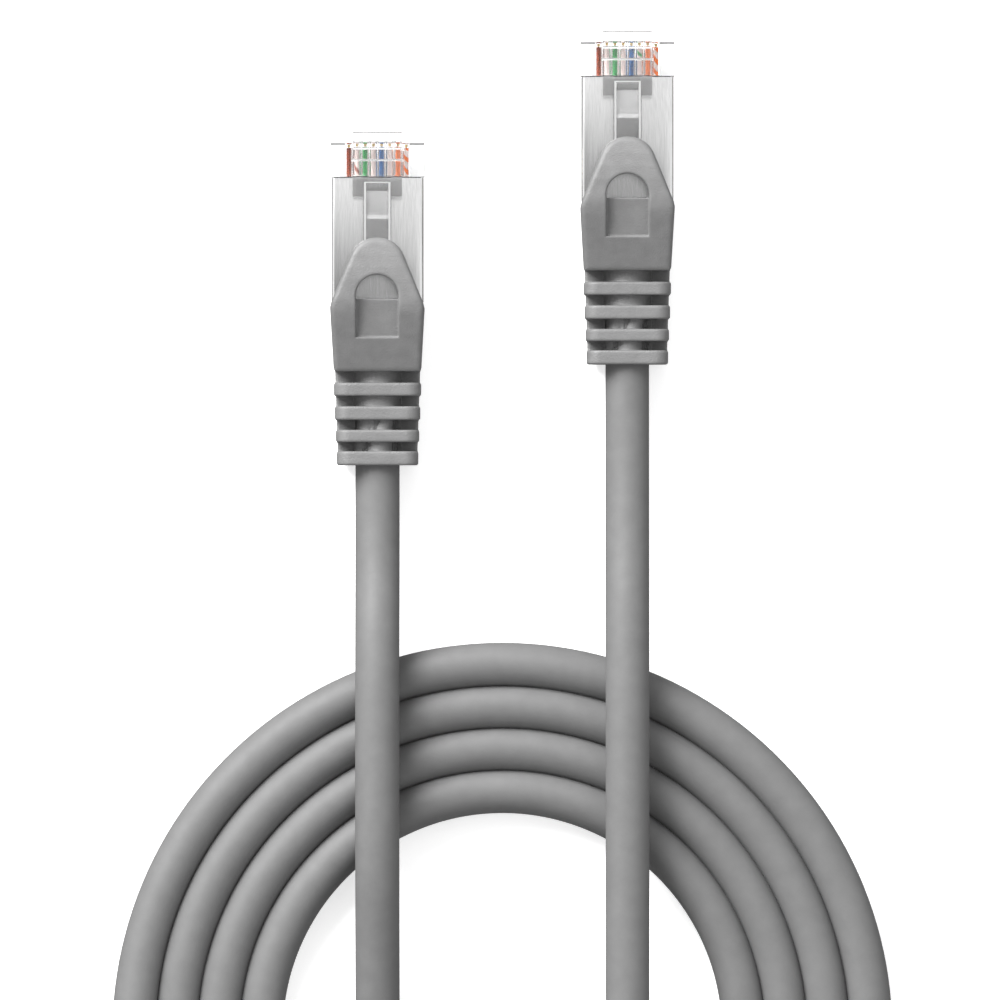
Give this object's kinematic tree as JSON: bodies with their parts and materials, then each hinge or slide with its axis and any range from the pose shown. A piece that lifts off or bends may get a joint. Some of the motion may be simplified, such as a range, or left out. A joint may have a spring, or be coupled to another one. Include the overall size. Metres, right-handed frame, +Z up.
{
  "type": "ethernet patch cable",
  "caption": "Screened network patch cable: a modular plug with a ribbed boot and sprung latch guard at each end of a round lead, stored as a flat coil.",
  "frame": {"origin": "on the floor, midway between the two plugs and their boots, at the centre of their common box's underside", "axes": "+Z up from the boots' flat undersides towards the latches, +Y the way both plugs point, +X across"},
  "size_m": [0.0978, 0.1733, 0.0127],
  "materials": {
    "clear_housing": "clear polycarbonate",
    "shield_steel": "brushed along the plug",
    "gold": "gold flash",
    "load_bar": "natural white",
    "copper": "bare copper",
    "jacket": "satin grey",
    "foil": "thin foil",
    "tinned_wire": "tinned",
    "inner_mould": "rough",
    "boot": "fine moulded",
    "wire_white_orange": "white with an orange stripe",
    "wire_orange": "satin",
    "wire_white_green": "white with a green stripe",
    "wire_blue": "satin",
    "wire_white_blue": "white with a blue stripe",
    "wire_green": "satin",
    "wire_white_brown": "white with a brown stripe",
    "wire_brown": "satin"
  },
  "bodies": {
    "root": {"plug_body_a": "clear_housing", "shield_a": "shield_steel", "contacts_a": "gold", "load_bar_a": "load_bar", "copper_cores_a": "copper", "jacket_end_a": "jacket", "foil_screen_a": "foil", "drain_wire_a": "tinned_wire", "inner_mould_a": "inner_mould", "boot_a": "boot", "wire_white_orange_a": "wire_white_orange", "wire_orange_a": "wire_orange", "wire_white_green_a": "wire_white_green", "wire_blue_a": "wire_blue", "wire_white_blue_a": "wire_white_blue", "wire_green_a": "wire_green", "wire_white_brown_a": "wire_white_brown", "wire_brown_a": "wire_brown", "plug_body_b": "clear_housing", "shield_b": "shield_steel", "contacts_b": "gold", "load_bar_b": "load_bar", "copper_cores_b": "copper", "jacket_end_b": "jacket", "foil_screen_b": "foil", "drain_wire_b": "tinned_wire", "inner_mould_b": "inner_mould", "boot_b": "boot", "wire_white_orange_b": "wire_white_orange", "wire_orange_b": "wire_orange", "wire_white_green_b": "wire_white_green", "wire_blue_b": "wire_blue", "wire_white_blue_b": "wire_white_blue", "wire_green_b": "wire_green", "wire_white_brown_b": "wire_white_brown", "wire_brown_b": "wire_brown", "cable_lead_a": "jacket", "cable_coil": "jacket", "cable_lead_b": "jacket"},
    "latch_a": {"latch_a": "clear_housing"},
    "guard_a": {"latch_guard_a": "boot"},
    "latch_b": {"latch_b": "clear_housing"},
    "guard_b": {"latch_guard_b": "boot"}
  },
  "joints": [
    {"name": "latch_hinge_a", "type": "hinge", "parent": "root", "child": "latch_a", "pos_m": [-0.01555, 0.01358, 0.00835], "axis": [1, 0, 0], "range_deg": [0, 6.2], "stiffness_Nm_per_rad": 0.02},
    {"name": "guard_hinge_a", "type": "hinge", "parent": "root", "child": "guard_a", "pos_m": [-0.01555, -0.00797, 0.01035], "axis": [-1, 0, 0], "range_deg": [0, 11.8], "stiffness_Nm_per_rad": 0.01},
    {"name": "latch_hinge_b", "type": "hinge", "parent": "root", "child": "latch_b", "pos_m": [0.01555, 0.02612, 0.00835], "axis": [1, 0, 0], "range_deg": [0, 6.2], "stiffness_Nm_per_rad": 0.02},
    {"name": "guard_hinge_b", "type": "hinge", "parent": "root", "child": "guard_b", "pos_m": [0.01555, 0.00458, 0.01035], "axis": [-1, 0, 0], "range_deg": [0, 11.8], "stiffness_Nm_per_rad": 0.01}
  ],
  "couplings": [
    {"joint": "guard_hinge_a", "follows": "latch_hinge_a", "ratio": 1.9},
    {"joint": "guard_hinge_b", "follows": "latch_hinge_b", "ratio": 1.9}
  ]
}
